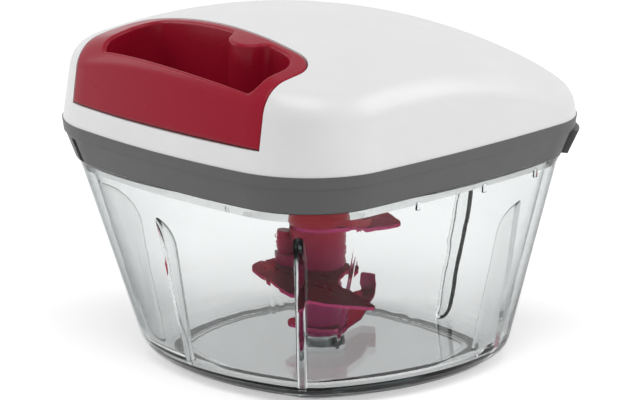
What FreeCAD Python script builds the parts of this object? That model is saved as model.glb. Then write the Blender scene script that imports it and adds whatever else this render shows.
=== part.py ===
import FreeCAD, Part

import math
import os

import Sketcher
from FreeCAD import Placement, Rotation, Vector

# Driving sizes, in millimetres and degrees: name, value, what it measures
SIZES = [
    ("front_corner_x", 32.1, "ring outline: front corner arc centre, sideways"),
    ("front_corner_y", 36.6, "ring outline: front corner arc centre, forward"),
    ("front_corner_radius", 26.2, "ring outline: front corner arc"),
    ("back_corner_x", 33.0, "ring outline: back corner arc centre, sideways"),
    ("back_corner_y", 43.8, "ring outline: back corner arc centre, backward"),
    ("back_corner_radius", 20.2, "ring outline: back corner arc"),
    ("front_arc_radius", 266.0, "ring outline: bulge of the front"),
    ("side_arc_radius", 629.0, "ring outline: bulge of the sides and the back"),
    ("base_front_x", 22.5, "bowl base: front corner arc centre, sideways"),
    ("base_front_y", 23.5, "bowl base: front corner arc centre, forward"),
    ("base_front_radius", 20.3, "bowl base: front corner arc"),
    ("base_back_x", 24.5, "bowl base: back corner arc centre, sideways"),
    ("base_back_y", 27.0, "bowl base: back corner arc centre, backward"),
    ("base_back_radius", 21.3, "bowl base: back corner arc"),
    ("base_side_radius", 75.0, "bowl base: bulge of the front and the sides"),
    ("base_rear_radius", 110.0, "bowl base: bulge of the back"),
    ("base_height", 1.2, "bowl base above the table"),
    ("base_edge_radius", 6.0, "rounding of the bowl's lower edge"),
    ("bowl_wall", 2.4, "bowl wall"),
    ("bowl_floor", 4.2, "bowl floor"),
    ("neck_height", 71.7, "top of the bowl's neck above the table"),
    ("neck_wall", 2.2, "wall of the bowl's neck"),
    ("neck_clearance", 0.4, "between the bowl's neck and the ring round it"),
    ("flange_height", 2.8, "height of the bowl's rim flange"),
    ("flange_inset", 0.5, "rim flange inside the ring's lower edge"),
    ("flange_overhang", 1.3, "rim flange beyond the wall under it"),
    ("flange_gap", 0.3, "between the rim flange and the ring above it"),
    ("fin_thickness", 2.8, "fins inside the bowl"),
    ("fin_foot_radius", 44.2, "inner edge of the fins at the floor, from the axis"),
    ("fin_head_radius", 54.2, "inner edge of the fins carried on to their top"),
    ("corner_fin_shift", 2.0, "corner fins further out than the other two"),
    ("fin_drop", 5.0, "top of the fins below the bowl's wall"),
    ("fin_rounding", 1.2, "rounding of the fins' edges"),
    ("fin_shoulder_radius", 17.0, "rounding of the fins into the wall"),
    ("front_fin_turn", 8.0, "turn of the front and back fins from the middle plane"),
    ("front_corner_fin", 49.1, "front corner fins, degrees down from the sideways axis"),
    ("back_corner_fin", 36.0, "back corner fins, degrees up from the sideways axis"),
    ("lug_width", 1.3, "lugs under the bowl's rim"),
    ("lug_reach", 0.7, "lugs beyond the wall behind them"),
    ("lug_drop", 1.6, "lugs below the rim flange"),
    ("centre_boss_radius", 7.0, "boss on the bowl's floor round the pivot pin"),
    ("centre_boss_height", 2.6, "boss above the bowl's floor"),
    ("pin_diameter", 6.0, "pivot pin"),
    ("pin_depth", 4.2, "pivot pin's hold below the boss top"),
    ("pin_height", 24.0, "top of the pivot pin above the table"),
    ("foot_inset", 8.4, "foot ring inside the outline of the bowl's base"),
    ("foot_width", 3.4, "foot ring, from its outer to its inner side"),
    ("foot_rib_width", 1.8, "locating rib inside the foot ring"),
    ("foot_rib_height", 0.7, "locating rib under the bowl"),
    ("ring_drop", 6.7, "lower edge of the lid's ring below the neck's top"),
    ("ring_rise", 5.1, "upper edge of the lid's ring above the neck's top"),
    ("ring_band", 3.5, "upper band of the ring"),
    ("ring_flare", 4.1, "upper edge of the ring beyond its lower edge"),
    ("band_lean", 0.5, "how far the upper band leans in downward"),
    ("ridge_step", 0.35, "step under the upper band"),
    ("ring_wall", 2.4, "wall of the ring"),
    ("floor_rise", 3.2, "top of the lid's floor plate above the neck's top"),
    ("lid_floor_thickness", 2.2, "lid's floor plate"),
    ("tab_half_angle", 23.0, "slots beside a corner tab, from its middle about the corner centre"),
    ("tab_slot_width", 3.2, "slots beside the corner tabs"),
    ("tab_proud", 1.7, "back corner tab beyond the ring"),
    ("skirt_inset", 6.9, "skirt under the lid's floor, inside the ring's edge"),
    ("skirt_wall", 1.6, "skirt wall"),
    ("skirt_drop", 4.2, "skirt below the lid's floor"),
    ("seal_inset", 3.2, "seal's outer edge inside the ring's edge"),
    ("seal_thickness", 0.9, "seal"),
    ("lip_wall", 1.2, "locating lip under the cover"),
    ("lip_drop", 1.5, "locating lip below the cover's edge"),
    ("lip_clearance", 0.3, "between the lip and the ring"),
    ("cover_step", 0.3, "ring beyond the cover's foot"),
    ("cover_wall", 2.2, "cover wall"),
    ("cover_height", 35.1, "crown of the cover above the ring"),
    ("cover_lean", 7.5, "lean of the cover's walls, degrees"),
    ("crown_forward", 20.1, "highest line of the crown, forward of the axis"),
    ("crown_length_radius", 188.0, "crown radius, front to back"),
    ("crown_width_radius", 149.0, "crown radius, side to side"),
    ("shoulder_radius", 11.0, "rounding between the cover's walls and crown"),
    ("handle_half_width", 41.0, "handle, half its width"),
    ("handle_back", 40.0, "back face of the handle, forward of the axis"),
    ("handle_corner_radius", 9.0, "handle's back corners"),
    ("handle_lift", 6.9, "underside of the handle above the ring"),
    ("handle_seam", 0.3, "seam round the handle"),
    ("handle_rim", 3.0, "handle's back wall"),
    ("handle_floor", 2.2, "floor of the handle's finger pocket"),
    ("pocket_half_width", 33.2, "finger pocket, half its width"),
    ("pocket_shift", 2.8, "finger pocket's middle beside the handle's"),
    ("pocket_front", 61.4, "finger pocket's front corners, forward of the axis"),
    ("pocket_arc_radius", 240.0, "finger pocket's front face"),
    ("pocket_back_radius", 8.0, "finger pocket's back corners"),
    ("pocket_front_radius", 3.0, "finger pocket's front corners"),
    ("edge_rounding", 0.8, "rounding of the handle's outer edges"),
    ("rim_rounding", 1.0, "rounding of the finger pocket's rim"),
    ("boss_radius", 6.7, "cord boss in the handle"),
    ("boss_forward", 42.6, "cord boss centre, forward of the axis"),
    ("boss_blend", 2.6, "blend between the cord boss and the pocket's back"),
    ("knot_bore_radius", 2.9, "knot's bore in the cord boss"),
    ("knot_bore_rise", 5.0, "top of the knot's bore above the cord"),
    ("knot_forward", 45.4, "knot's bore, forward of the axis"),
    ("recess_wall", 2.0, "walls of the handle's recess in the cover"),
    ("post_radius", 4.0, "screw posts inside the cover"),
    ("post_bore_radius", 1.35, "screw bores in the posts"),
    ("front_post_x", 44.0, "front screw posts, sideways"),
    ("front_post_y", 26.0, "front screw posts, forward"),
    ("back_post_x", 38.0, "back screw posts, sideways"),
    ("back_post_y", 46.0, "back screw posts, backward"),
    ("cord_diameter", 1.8, "pull cord"),
    ("cord_lift", 16.3, "straight run of the cord above the ring"),
    ("cord_hole_radius", 1.5, "holes the cord passes"),
    ("cord_turns", 3.25, "turns of the cord on the drum"),
    ("cord_pitch", 2.3, "climb of the cord in a turn"),
    ("drum_core_radius", 13.5, "drum core under the cord"),
    ("cord_seat", 0.1, "between the cord and the drum's core"),
    ("drum_flange_radius", 19.4, "drum flanges"),
    ("drum_flange", 1.2, "thickness of the drum's flanges"),
    ("groove_margin", 1.2, "drum groove above the cord's turns"),
    ("groove_below", 1.7, "drum groove below the cord's turns"),
    ("spring_cup_height", 6.7, "spring cup under the drum"),
    ("spring_cup_wall", 1.4, "wall of the spring cup"),
    ("spring_width", 5.2, "spring strip, upright"),
    ("spring_strip", 0.4, "spring strip, thickness"),
    ("spring_inner_radius", 8.4, "innermost turn of the spring"),
    ("spring_turns", 6.0, "turns of the spring"),
    ("spring_plate", 0.8, "plate that closes the spring cup"),
    ("arbor_radius", 8.0, "spring arbor, outer"),
    ("arbor_flange_radius", 13.0, "spring arbor's flange"),
    ("arbor_flange", 0.8, "thickness of the spring arbor's flange"),
    ("hub_radius", 5.5, "drum's hub in the arbor's bore"),
    ("hex_across", 7.0, "drive hexagon on the hub, across its flats"),
    ("hex_length", 5.4, "drive hexagon"),
    ("hex_clearance", 0.06, "round each drive hexagon"),
    ("coupler_radius", 7.0, "coupler's collar"),
    ("coupler_collar", 1.8, "thickness of the coupler's collar"),
    ("coupler_across", 9.0, "coupler's hexagon, across its flats"),
    ("coupler_length", 7.4, "coupler's hexagon"),
    ("running_gap", 0.3, "between pieces that turn past each other"),
    ("axle_radius", 2.0, "drum axle"),
    ("axle_length", 8.0, "drum axle"),
    ("shaft_clearance", 0.04, "radial clearance of shafts"),
    ("housing_wall", 1.8, "wall of the drum housing"),
    ("housing_cap", 2.0, "top of the drum housing"),
    ("housing_gap", 1.2, "between the drum and its housing"),
    ("housing_lug_radius", 4.2, "screw lugs of the drum housing"),
    ("housing_lug_height", 3.0, "height of the housing's screw lugs"),
    ("housing_lug_reach", 26.5, "housing screws from the axis"),
    ("screw_radius", 1.25, "screw shanks"),
    ("screw_head_radius", 2.6, "screw heads"),
    ("screw_head", 1.7, "height of the screw heads"),
    ("screw_length", 7.0, "screw shanks, length"),
    ("screw_boss", 4.4, "depth of the screw bosses under the lid's floor"),
    ("centre_screw_length", 9.0, "centre screw's shank"),
    ("eyelet_radius", 3.2, "eyelet's flange"),
    ("eyelet_tube", 2.3, "eyelet's tube, outer"),
    ("eyelet_flange", 0.6, "thickness of the eyelet's flanges"),
    ("knot_radius", 2.4, "knot at the cord's handle end"),
    ("end_knot_radius", 1.35, "knot at the cord's drum end"),
    ("stem_radius", 9.8, "blade stem"),
    ("stem_bottom", 8.6, "foot of the blade stem above the table"),
    ("stem_neck_radius", 6.4, "stem inside the blades"),
    ("stem_top_gap", 1.0, "between the stem and the coupler's collar"),
    ("stem_foot_radius", 8.0, "stem below the lower blade"),
    ("stem_foot_top", 27.7, "top of the stem's thinner foot"),
    ("ledge_thickness", 3.1, "ledges over the blades"),
    ("ledge_radius", 5.6, "round end of the ledges"),
    ("ledge_reach", 11.8, "blade post from the stem's axis"),
    ("post_pin_radius", 2.45, "blade posts"),
    ("post_pin_height", 7.0, "blade posts above the ledges"),
    ("ledge_turn", 108.0, "ledges behind the blade tips, degrees"),
    ("blade_thickness", 1.0, "blades"),
    ("blade_clearance", 0.05, "round the blades where the stem holds them"),
    ("blade_reach", 45.0, "blade tips from the axis"),
    ("lower_blade_back", 21.6, "broad back of the lower blade from the axis"),
    ("upper_blade_back", 25.0, "broad back of the upper blade from the axis"),
    ("lower_blade_height", 29.7, "lower blade above the table"),
    ("lower_blade_turn", -21.4, "lower blade's direction, degrees from the sideways axis"),
    ("lower_blade_droop", 3.0, "lower blade's slope down to its tip, degrees"),
    ("upper_blade_height", 41.8, "upper blade above the table"),
    ("upper_blade_turn", 150.0, "upper blade's direction, degrees"),
    ("upper_blade_droop", 3.0, "upper blade's slope down to its tip, degrees"),
    ("bottom_blade_height", 11.1, "bottom blade above the table"),
    ("bottom_blade_turn", 114.5, "bottom blade's direction, degrees"),
    ("bottom_blade_reach", 40.0, "bottom blade's upright tip from the axis"),
    ("bottom_blade_width", 9.0, "bottom blade"),
    ("tip_height", 6.4, "bottom blade's upright tip"),
    ("tip_width", 4.8, "bottom blade's upright tip, across"),
    ("bush_radius", 4.6, "stem bush, outer"),
    ("bush_height", 17.0, "stem bush"),
    ("socket_depth", 9.6, "hexagon socket in the stem's top"),
]

document = FreeCAD.newDocument("food_chopper")


# Sheet of driving sizes and the arithmetic that keeps formulas with their numbers


class Size:
    """A number together with the formula that gives it from the sheet."""

    def __init__(self, value, text):
        self.value = float(value)
        self.text = text

    def __add__(self, other):
        other = as_size(other)
        return Size(self.value + other.value, f"({self.text} + {other.text})")

    def __sub__(self, other):
        other = as_size(other)
        return Size(self.value - other.value, f"({self.text} - {other.text})")

    def __mul__(self, other):
        other = as_size(other)
        return Size(self.value * other.value, f"({self.text} * {other.text})")

    def __truediv__(self, other):
        other = as_size(other)
        return Size(self.value / other.value, f"({self.text} / {other.text})")

    def __radd__(self, other):
        return as_size(other) + self

    def __rsub__(self, other):
        return as_size(other) - self

    def __rmul__(self, other):
        return as_size(other) * self

    def __rtruediv__(self, other):
        return as_size(other) / self

    def __neg__(self):
        return Size(-self.value, f"(0 - {self.text})")


def as_size(value):
    if isinstance(value, Size):
        return value
    return Size(value, repr(float(value)))


def sine(angle):
    return Size(math.sin(math.radians(angle.value)), f"sin({angle.text})")


def cosine(angle):
    return Size(math.cos(math.radians(angle.value)), f"cos({angle.text})")


def tangent(angle):
    return Size(math.tan(math.radians(angle.value)), f"tan({angle.text})")


def root(size):
    return Size(math.sqrt(size.value), f"sqrt({size.text})")


def fill_sheet():
    """Write the driving sizes into the document's sheet and return them by name."""
    sheet = document.addObject("Spreadsheet::Sheet", "Sizes")
    named = {}
    for row, (alias, value, note) in enumerate(SIZES, start=1):
        sheet.set(f"A{row}", alias)
        sheet.set(f"B{row}", str(value))
        sheet.set(f"C{row}", note)
        sheet.setAlias(f"B{row}", alias)
        named[alias] = Size(value, f"Sizes.{alias}")
    document.recompute()
    return named


class Named:
    """Lets a size be read as an attribute."""

    def __init__(self, sizes):
        self.__dict__.update(sizes)


d = Named(fill_sheet())
ZERO = as_size(0)


# Sketches, features and bodies


def bind(thing, path, size):
    thing.setExpression(path, as_size(size).text)


def new_body(name):
    body = document.addObject("PartDesign::Body", name)
    body.Label = name
    return body


def new_sketch(body, name, plane="XY_Plane", height=None, turn=None):
    """Attach a sketch to one of the body's own planes, moved along its normal."""
    sketch = body.newObject("Sketcher::SketchObject", name)
    origin = [face for face in body.Origin.OriginFeatures if face.Role == plane][0]
    sketch.AttachmentSupport = [(origin, "")]
    sketch.MapMode = "FlatFace"
    if turn is not None:
        axis = Vector(0, 0, 1) if plane == "XY_Plane" else Vector(0, 1, 0)
        sketch.AttachmentOffset = Placement(Vector(), Rotation(axis, turn.value))
        bind(sketch, "AttachmentOffset.Rotation.Angle", turn)
    if height is not None:
        bind(sketch, "AttachmentOffset.Base.z", height)
    return sketch


def hold(sketch, constraint, size):
    """Add a dimension to a sketch and tie it to the sheet."""
    index = sketch.addConstraint(constraint)
    bind(sketch, f"Constraints[{index}]", size)


def place_point(sketch, geometry, position, x, y):
    for kind, axis, distance in (("DistanceX", -2, x), ("DistanceY", -1, y)):
        distance = as_size(distance)
        if distance.text == ZERO.text:
            sketch.addConstraint(Sketcher.Constraint("PointOnObject", geometry, position, axis))
        else:
            datum = Sketcher.Constraint(kind, -1, 1, geometry, position, distance.value)
            hold(sketch, datum, distance)


def add_circle(sketch, x, y, radius):
    x, y, radius = as_size(x), as_size(y), as_size(radius)
    circle = Part.Circle(Vector(x.value, y.value, 0), Vector(0, 0, 1), radius.value)
    index = sketch.addGeometry(circle)
    place_point(sketch, index, 3, x, y)
    hold(sketch, Sketcher.Constraint("Radius", index, radius.value), radius)
    return index


def add_loop(sketch, corners):
    """Close straight sides; a corner is (x, y), or (x, y, radius) where it is rounded."""
    points = [Vector(as_size(c[0]).value, as_size(c[1]).value, 0) for c in corners]
    count = len(corners)
    ends = []
    for i, corner in enumerate(corners):
        before = (points[i - 1] - points[i]).normalize()
        after = (points[(i + 1) % count] - points[i]).normalize()
        if len(corner) == 2:
            ends.append((points[i], points[i], None))
            continue
        radius = as_size(corner[2]).value
        half = before.getAngle(after) / 2
        reach = radius / math.tan(half)
        centre = points[i] + (before + after).normalize() * (radius / math.sin(half))
        ends.append((points[i] + before * reach, points[i] + after * reach, centre))
    lines = []
    for i in range(count):
        line = Part.LineSegment(ends[i][1], ends[(i + 1) % count][0])
        lines.append(sketch.addGeometry(line))
    for i, corner in enumerate(corners):
        start, end, centre = ends[i]
        if centre is None:
            sketch.addConstraint(Sketcher.Constraint("Coincident", lines[i - 1], 2, lines[i], 1))
            place_point(sketch, lines[i], 1, corner[0], corner[1])
            continue
        left_turn = (start - centre).cross(end - centre).z > 0
        first, last = (start, end) if left_turn else (end, start)
        begin = math.atan2(first.y - centre.y, first.x - centre.x)
        finish = math.atan2(last.y - centre.y, last.x - centre.x)
        if finish < begin:
            finish += 2 * math.pi
        circle = Part.Circle(centre, Vector(0, 0, 1), as_size(corner[2]).value)
        arc = sketch.addGeometry(Part.ArcOfCircle(circle, begin, finish))
        near, far = (1, 2) if left_turn else (2, 1)
        sketch.addConstraint(Sketcher.Constraint("Tangent", lines[i - 1], 2, arc, near))
        sketch.addConstraint(Sketcher.Constraint("Tangent", arc, far, lines[i], 1))
        hold(sketch, Sketcher.Constraint("Radius", arc, circle.Radius), corner[2])
        corner_point = sketch.addGeometry(Part.Point(points[i]), True)
        sketch.addConstraint(Sketcher.Constraint("PointOnObject", corner_point, 1, lines[i - 1]))
        sketch.addConstraint(Sketcher.Constraint("PointOnObject", corner_point, 1, lines[i]))
        place_point(sketch, corner_point, 1, corner[0], corner[1])


def add_hexagon(sketch, across):
    """A hexagon about the origin whose flats face sideways."""
    across = as_size(across)
    side = across / math.sqrt(3)
    corners = []
    for x, y in ((0.5, 0.5), (0, 1), (-0.5, 0.5), (-0.5, -0.5), (0, -1), (0.5, -0.5)):
        corners.append((across * x if x else 0, side * y))
    add_loop(sketch, corners)


def add_profile(body, feature, name, sketch):
    made = body.newObject(feature, name)
    made.Profile = sketch
    return made


def pad(body, sketch, length, name, down=False, symmetric=False):
    made = add_profile(body, "PartDesign::Pad", name, sketch)
    bind(made, "Length", length)
    made.Reversed = down
    if symmetric:
        made.SideType = "Symmetric"
    return made


def pocket(body, sketch, length, name, up=False, symmetric=False):
    made = add_profile(body, "PartDesign::Pocket", name, sketch)
    bind(made, "Length", length)
    made.Reversed = up
    if symmetric:
        made.SideType = "Symmetric"
    return made


def loft(body, sketches, name):
    made = add_profile(body, "PartDesign::AdditiveLoft", name, sketches[0])
    made.Sections = sketches[1:]
    made.Ruled = True
    return made


def turned(name, corners):
    """A body of revolution about the upright axis from its (radius, height) corners."""
    body = new_body(name)
    sketch = new_sketch(body, f"{name}_profile", "XZ_Plane")
    add_loop(sketch, corners)
    made = add_profile(body, "PartDesign::Revolution", f"{name}_turn", sketch)
    made.ReferenceAxis = (sketch, ["V_Axis"])
    return body


def block(name, corners, bottom, height):
    """An upright prism over a loop of corners."""
    body = new_body(name)
    sketch = new_sketch(body, f"{name}_plan", height=bottom)
    add_loop(sketch, corners)
    pad(body, sketch, height, f"{name}_pad")
    return body


def round_edges(body, base, edges, radius, name):
    made = body.newObject("PartDesign::Fillet", name)
    made.Base = (base, edges)
    bind(made, "Radius", radius)
    return made


def combine(kind, name, things):
    made = document.addObject(kind, name)
    made.Label = name
    if kind == "Part::Cut":
        made.Base, made.Tool = things
    elif kind == "Part::Compound":
        made.Links = things
    else:
        made.Shapes = things
    return made


def shift(body, x=None, y=None, z=None):
    for axis, distance in (("x", x), ("y", y), ("z", z)):
        if distance is not None:
            bind(body, f"Placement.Base.{axis}", distance)


def edges_where(shape, wanted):
    return [f"Edge{i}" for i, edge in enumerate(shape.Edges, start=1) if wanted(edge)]


# Outlines of eight tangent arcs


class Outline:
    """A rounded outline, alike on both sides: four corner arcs and four bulging sides."""

    def __init__(self, front, back, front_bulge, side_bulge, back_bulge):
        self.front = front
        self.back = back
        self.bulges = (side_bulge, back_bulge, side_bulge, front_bulge)

    def grown(self, offset):
        front = (self.front[0], self.front[1], self.front[2] + offset)
        back = (self.back[0], self.back[1], self.back[2] + offset)
        side, rear, _, fore = [bulge + offset for bulge in self.bulges]
        return Outline(front, back, fore, side, rear)

    def blended(self, other, share):
        """An outline part of the way towards another; its bulges share their curvature."""
        rest = 1 - share
        front = [a * rest + b * share for a, b in zip(self.front, other.front)]
        back = [a * rest + b * share for a, b in zip(self.back, other.back)]
        bulges = []
        for a, b in zip(self.bulges, other.bulges):
            bulges.append(1 / (rest / a + share / b))
        return Outline(front, back, bulges[3], bulges[0], bulges[1])

    def corners(self):
        """Corner arcs anticlockwise from the front right: x, y, radius."""
        fx, fy, fr = self.front
        bx, by, br = self.back
        return [(fx, -fy, fr), (bx, by, br), (-bx, by, br), (-fx, -fy, fr)]

    def side_centres(self):
        """Centres of the sides that follow each corner."""
        inward = (Vector(-1, 0, 0), Vector(0, -1, 0), Vector(1, 0, 0), Vector(0, 1, 0))
        corners = self.corners()
        centres = []
        for i, bulge in enumerate(self.bulges):
            x1, y1, r1 = [size.value for size in corners[i]]
            x2, y2, r2 = [size.value for size in corners[(i + 1) % 4]]
            chord = Vector(x2 - x1, y2 - y1, 0)
            span = chord.Length
            along = chord.normalize()
            first = bulge.value - r1
            second = bulge.value - r2
            foot = (first ** 2 - second ** 2 + span ** 2) / (2 * span)
            away = inward[i] - along * inward[i].dot(along)
            away.normalize()
            rise = math.sqrt(first ** 2 - foot ** 2)
            centres.append(Vector(x1, y1, 0) + along * foot + away * rise)
        return centres

    def draw(self, sketch):
        corners = self.corners()
        sides = self.side_centres()
        arcs = []
        for i in range(4):
            x, y, radius = corners[i]
            centre = Vector(x.value, y.value, 0)
            after = Vector(corners[(i + 1) % 4][0].value, corners[(i + 1) % 4][1].value, 0)
            start = angle_of(centre - sides[i - 1])
            turn = angle_of(centre - sides[i])
            end = angle_of(after - sides[i])
            arcs.append((centre, radius, start, turn))
            arcs.append((sides[i], self.bulges[i], turn, end))
        drawn = []
        for centre, radius, start, end in arcs:
            end = end + 2 * math.pi if end < start else end
            circle = Part.Circle(centre, Vector(0, 0, 1), radius.value)
            index = sketch.addGeometry(Part.ArcOfCircle(circle, start, end))
            drawn.append(index)
        for i, index in enumerate(drawn):
            following = drawn[(i + 1) % len(drawn)]
            sketch.addConstraint(Sketcher.Constraint("Tangent", index, 2, following, 1))
        for index, (centre, radius, start, end) in zip(drawn, arcs):
            hold(sketch, Sketcher.Constraint("Radius", index, radius.value), radius)
        for i, (x, y, radius) in enumerate(corners):
            place_point(sketch, drawn[2 * i], 3, x, y)


def angle_of(vector):
    return math.atan2(vector.y, vector.x)


def rounded(body, name, outline, height):
    sketch = new_sketch(body, name, height=height)
    outline.draw(sketch)
    return sketch


ring_edge = Outline(
    (d.front_corner_x, d.front_corner_y, d.front_corner_radius),
    (d.back_corner_x, d.back_corner_y, d.back_corner_radius),
    d.front_arc_radius,
    d.side_arc_radius,
    d.side_arc_radius,
)
bowl_base = Outline(
    (d.base_front_x, d.base_front_y, d.base_front_radius),
    (d.base_back_x, d.base_back_y, d.base_back_radius),
    d.base_side_radius,
    d.base_side_radius,
    d.base_rear_radius,
)

# Heights and radii that several pieces share

ring_bottom = d.neck_height - d.ring_drop
ring_top = d.neck_height + d.ring_rise
lid_floor_top = d.neck_height + d.floor_rise
handle_bottom = ring_top + d.handle_lift
cord_height = ring_top + d.cord_lift
flange_top = ring_bottom - d.flange_gap
flange_bottom = flange_top - d.flange_height
fin_top = flange_bottom - d.fin_drop
wall_inset = d.flange_inset + d.flange_overhang
neck_inset = d.ring_wall + d.neck_clearance
cavity_inset = neck_inset + d.neck_wall
inner_floor = d.base_height + d.bowl_floor
boss_top = inner_floor + d.centre_boss_height
pin_radius = d.pin_diameter / 2
lid_floor_bottom = lid_floor_top - d.lid_floor_thickness
crown_top = ring_top + d.cover_height
cord_radius = d.cord_diameter / 2
cord_line = d.drum_core_radius + cord_radius + d.cord_seat
cord_climb = d.cord_pitch * d.cord_turns
groove_top = cord_height + d.groove_margin
groove_bottom = cord_height - cord_climb - d.groove_below
drum_top = groove_top + d.drum_flange
cup_top = groove_bottom - d.drum_flange
cup_bottom = cup_top - d.spring_cup_height
arbor_base = lid_floor_top + d.arbor_flange
arbor_top = cup_top - d.running_gap
hub_bottom = lid_floor_bottom - d.running_gap
hex_bottom = hub_bottom - d.hex_length
collar_bottom = hub_bottom - d.coupler_collar
coupler_bottom = collar_bottom - d.coupler_length
stem_top = collar_bottom - d.stem_top_gap
housing_inner = d.drum_flange_radius + d.housing_gap
housing_outer = housing_inner + d.housing_wall
housing_ceiling = drum_top + d.running_gap
housing_top = housing_ceiling + d.housing_cap
handle_top_clear = crown_top + 10
recess_half_width = d.handle_half_width + d.handle_seam
recess_back = d.handle_back - d.handle_seam
recess_floor = handle_bottom - d.handle_seam
cover_foot = d.ring_flare - d.cover_step


# Bowl


def rounded_loft(body, name, low, high, bottom, radius):
    """Loft a bowl form up to the rim flange, its lower edge rounded by rings of sections."""
    span = flange_bottom - bottom
    heights = []
    for turn in (0, 18, 36, 54, 72, 90):
        angle = as_size(turn)
        inset = radius * (1 - sine(angle))
        heights.append((radius * (1 - cosine(angle)), inset))
    heights.append((span, ZERO))
    rings = []
    for i, (lift, inset) in enumerate(heights):
        outline = low.blended(high, lift / span).grown(-inset)
        rings.append(rounded(body, f"{name}_section_{i}", outline, bottom + lift))
    return loft(body, rings, name)


def cavity_body():
    """The space inside the bowl, with the fins left out of it."""
    body = new_body("bowl_cavity")
    low = bowl_base.grown(-d.bowl_wall)
    high = ring_edge.grown(-cavity_inset)
    rounded_loft(body, "cavity_loft", low, high, inner_floor, d.base_edge_radius - d.bowl_wall)
    neck = rounded(body, "cavity_neck", high, flange_bottom)
    pad(body, neck, d.neck_height - flange_bottom + 1, "cavity_neck_pad")
    for name, turn, shift_out in fin_directions():
        sketch = new_sketch(body, f"{name}_profile", "XZ_Plane", turn=turn)
        far = d.front_corner_radius * 4
        add_loop(sketch, [
            (d.fin_foot_radius + shift_out, 1),
            (far, 1),
            (far, fin_top),
            (d.fin_head_radius + shift_out, fin_top, d.fin_shoulder_radius),
        ])
        cut = pocket(body, sketch, d.fin_thickness, name, symmetric=True)
    document.recompute()
    edges = edges_where(cut.Shape, lambda e: along_fin(e, cut.Shape))
    round_edges(body, cut, edges, d.fin_rounding, "fin_rounding")
    return body


def along_fin(edge, shape):
    """Whether an edge runs along the inner side or the top of a fin."""
    plain = ("Part::GeomPlane", "Part::GeomCylinder")
    faces = shape.ancestorsOfType(edge, Part.Face)
    if not all(face.Surface.TypeId in plain for face in faces):
        return False
    return inner_floor.value + 1 < edge.BoundBox.ZMax < fin_top.value + 1


def fin_directions():
    """Each fin's turn from the sideways axis and how far it is moved outward."""
    return [
        ("front_fin", -90 - d.front_fin_turn, ZERO),
        ("back_fin", 90 - d.front_fin_turn, ZERO),
        ("front_right_fin", -d.front_corner_fin, d.corner_fin_shift),
        ("front_left_fin", d.front_corner_fin - 180, d.corner_fin_shift),
        ("back_right_fin", d.back_corner_fin, d.corner_fin_shift),
        ("back_left_fin", 180 - d.back_corner_fin, d.corner_fin_shift),
    ]


def ring_side(share):
    """A point of the ring's right side, part of the way from its front to its back."""
    front = d.front_corner_x + d.front_corner_radius
    back = d.back_corner_x + d.back_corner_radius
    length = d.front_corner_y + d.back_corner_y
    bulge = length * length / d.side_arc_radius * (share * (1 - share) / 2)
    return front + (back - front) * share + bulge, length * share - d.front_corner_y


def bowl():
    body = new_body("bowl_outside")
    head = ring_edge.grown(-wall_inset)
    rounded_loft(body, "bowl_loft", bowl_base, head, d.base_height, d.base_edge_radius)
    flange_low = rounded(body, "flange_low", ring_edge.grown(-wall_inset), flange_bottom)
    flange_mid = rounded(body, "flange_mid", ring_edge.grown(-d.flange_inset), flange_top)
    loft(body, [flange_low, flange_mid], "flange_loft")
    neck = rounded(body, "neck_outline", ring_edge.grown(-neck_inset), flange_top)
    pad(body, neck, d.neck_height - flange_top, "neck_pad")
    rib_edge = bowl_base.grown(-d.foot_inset - d.foot_width)
    rib = rounded(body, "foot_rib_plan", rib_edge, d.base_height - d.foot_rib_height)
    rib_edge.grown(-d.foot_rib_width).draw(rib)
    pad(body, rib, d.foot_rib_height + 0.5, "foot_rib")
    lugs = new_sketch(body, "rim_lug_plan", height=flange_bottom - d.lug_drop)
    for share in (0.27, 0.64, 0.95):
        x, y = ring_side(share)
        edge = x - wall_inset + d.lug_reach
        for side in (1, -1):
            near = (edge - 4) * side
            far = edge * side
            end = y + d.lug_width
            add_loop(lugs, [(near, y), (far, y), (far, end), (near, end)])
    pad(body, lugs, d.lug_drop + 1, "rim_lugs")
    hollow = combine("Part::Cut", "bowl_hollow", [body, cavity_body()])
    boss = turned("bowl_boss", [
        (0, d.base_height + 0.5),
        (d.centre_boss_radius + 1, d.base_height + 0.5),
        (d.centre_boss_radius, boss_top),
        (0, boss_top),
    ])
    whole = combine("Part::MultiFuse", "bowl_whole", [hollow, boss])
    pin_hole = turned("pin_hole", [
        (0, boss_top - d.pin_depth),
        (pin_radius, boss_top - d.pin_depth),
        (pin_radius, boss_top + 1),
        (0, boss_top + 1),
    ])
    return combine("Part::Cut", "bowl", [whole, pin_hole])


def bowl_pin():
    chamfer = pin_radius / 4
    return turned("bowl_pin", [
        (0, boss_top - d.pin_depth),
        (pin_radius, boss_top - d.pin_depth),
        (pin_radius, d.pin_height - chamfer),
        (pin_radius - chamfer, d.pin_height),
        (0, d.pin_height),
    ])


def foot_ring():
    """The rubber ring under the bowl, in the form of its base."""
    body = new_body("foot_ring")
    plan = rounded(body, "foot_outline", bowl_base.grown(-d.foot_inset), ZERO)
    bowl_base.grown(-d.foot_inset - d.foot_width).draw(plan)
    pad(body, plan, d.base_height, "foot_pad")
    return body


# Lid base: the flared ring, its corner tabs and the floor plate


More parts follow.
